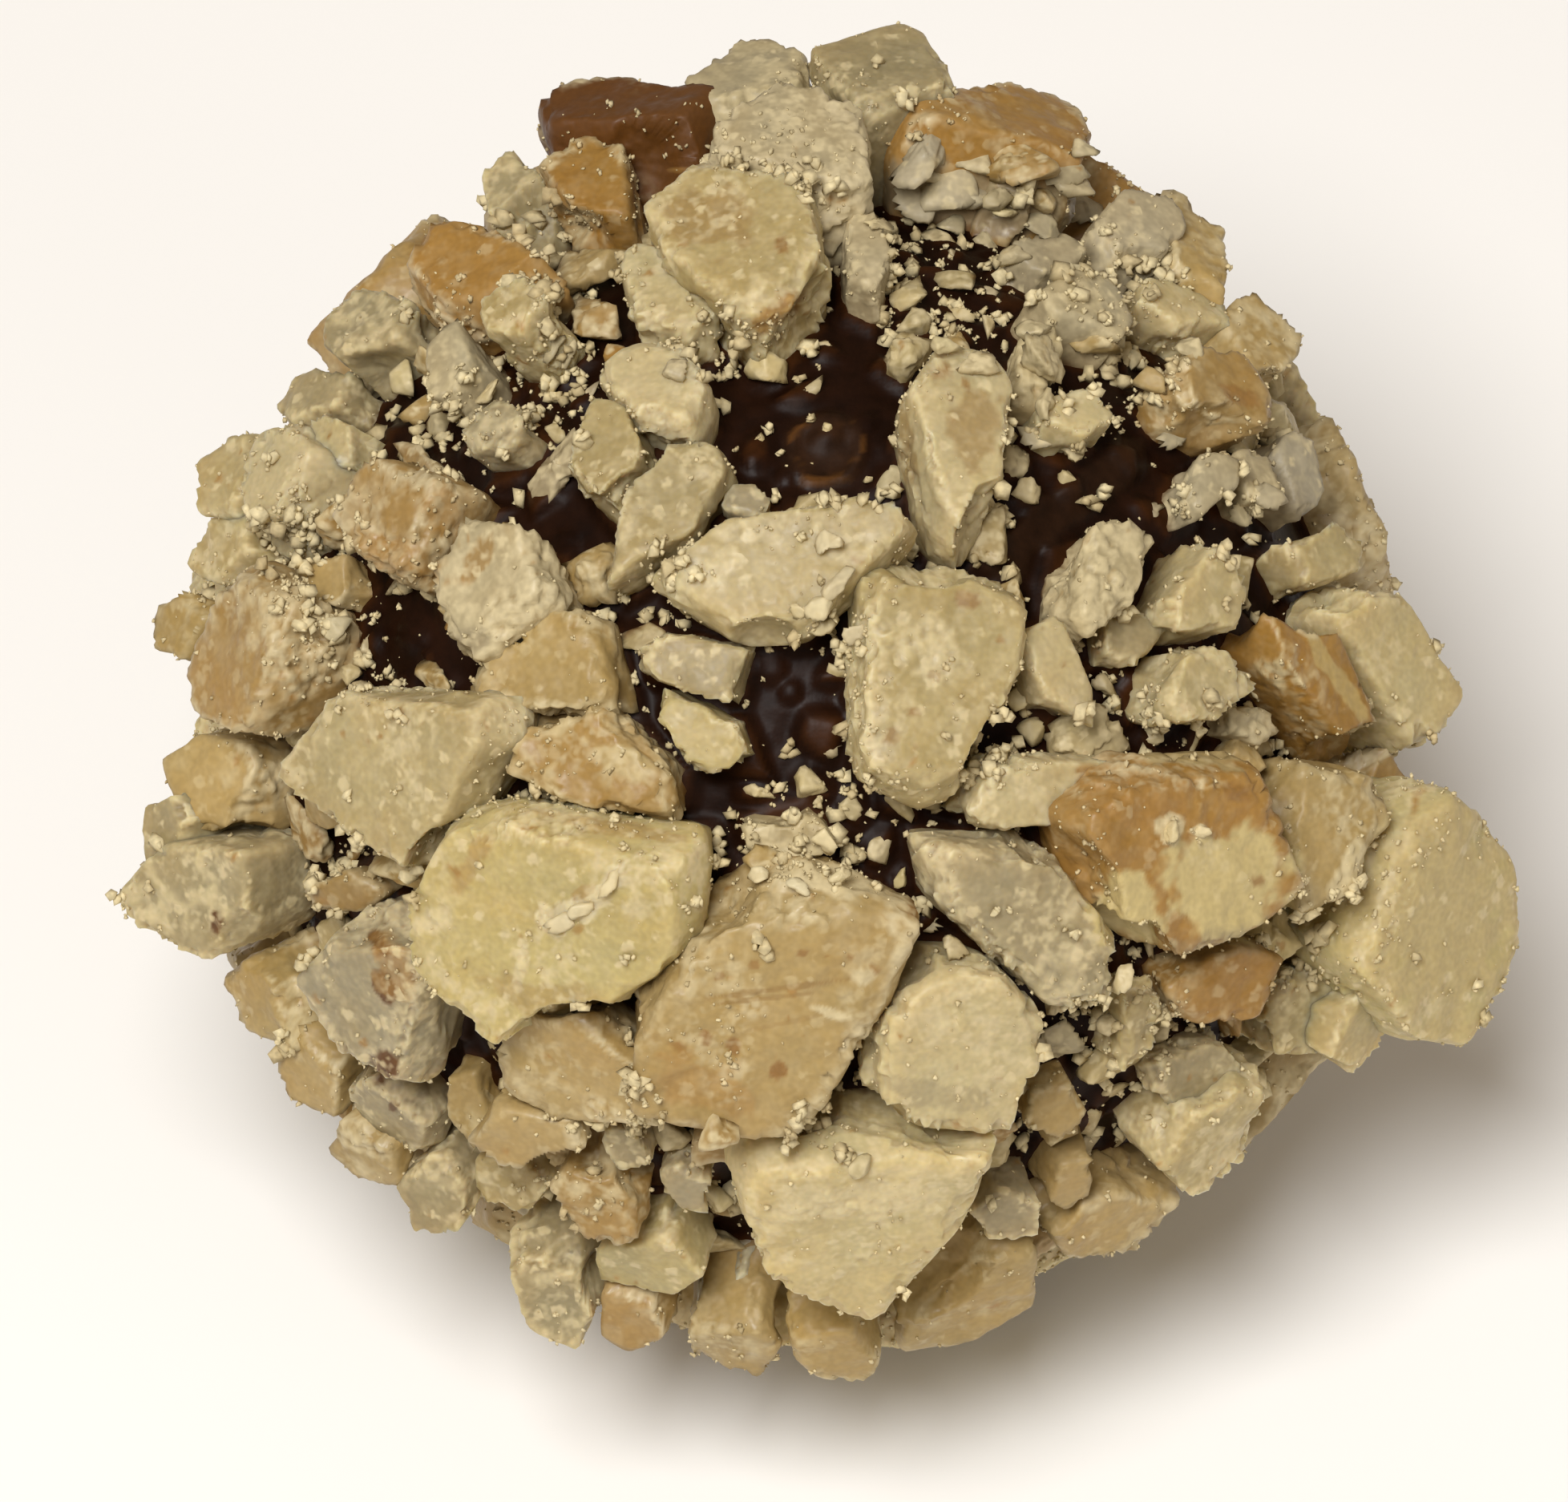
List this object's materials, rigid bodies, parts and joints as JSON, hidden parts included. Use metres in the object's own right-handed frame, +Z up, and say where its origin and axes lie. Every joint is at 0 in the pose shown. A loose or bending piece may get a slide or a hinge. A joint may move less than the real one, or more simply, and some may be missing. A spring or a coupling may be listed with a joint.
{
  "type": "nut-coated chocolate truffle",
  "caption": "Round dark chocolate truffle rolled in coarsely chopped roasted hazelnuts, with bare glossy chocolate showing between the nuts.",
  "frame": {"origin": "on the surface that the truffle rests on, under the middle of its bounding box", "axes": "+Z up from the flat foot; the best side, with the broadest cut nuts, looks towards -Y and up; +X to the right of that side"},
  "size_m": [0.0344, 0.0316, 0.0309],
  "materials": {
    "chocolate": "dark chocolate with a soft satin gloss",
    "nut_pale": "cut face of blanched hazelnut, waxy and slightly see-through",
    "nut_toasted": "toasted hazelnut, tan to golden, oily sheen",
    "nut_skin": "thin brown hazelnut skin, papery",
    "nut_crumb": "dry crumbs and dust of chopped hazelnut, chalky"
  },
  "bodies": {
    "root": {"truffle": "nut_pale"}
  },
  "joints": []
}
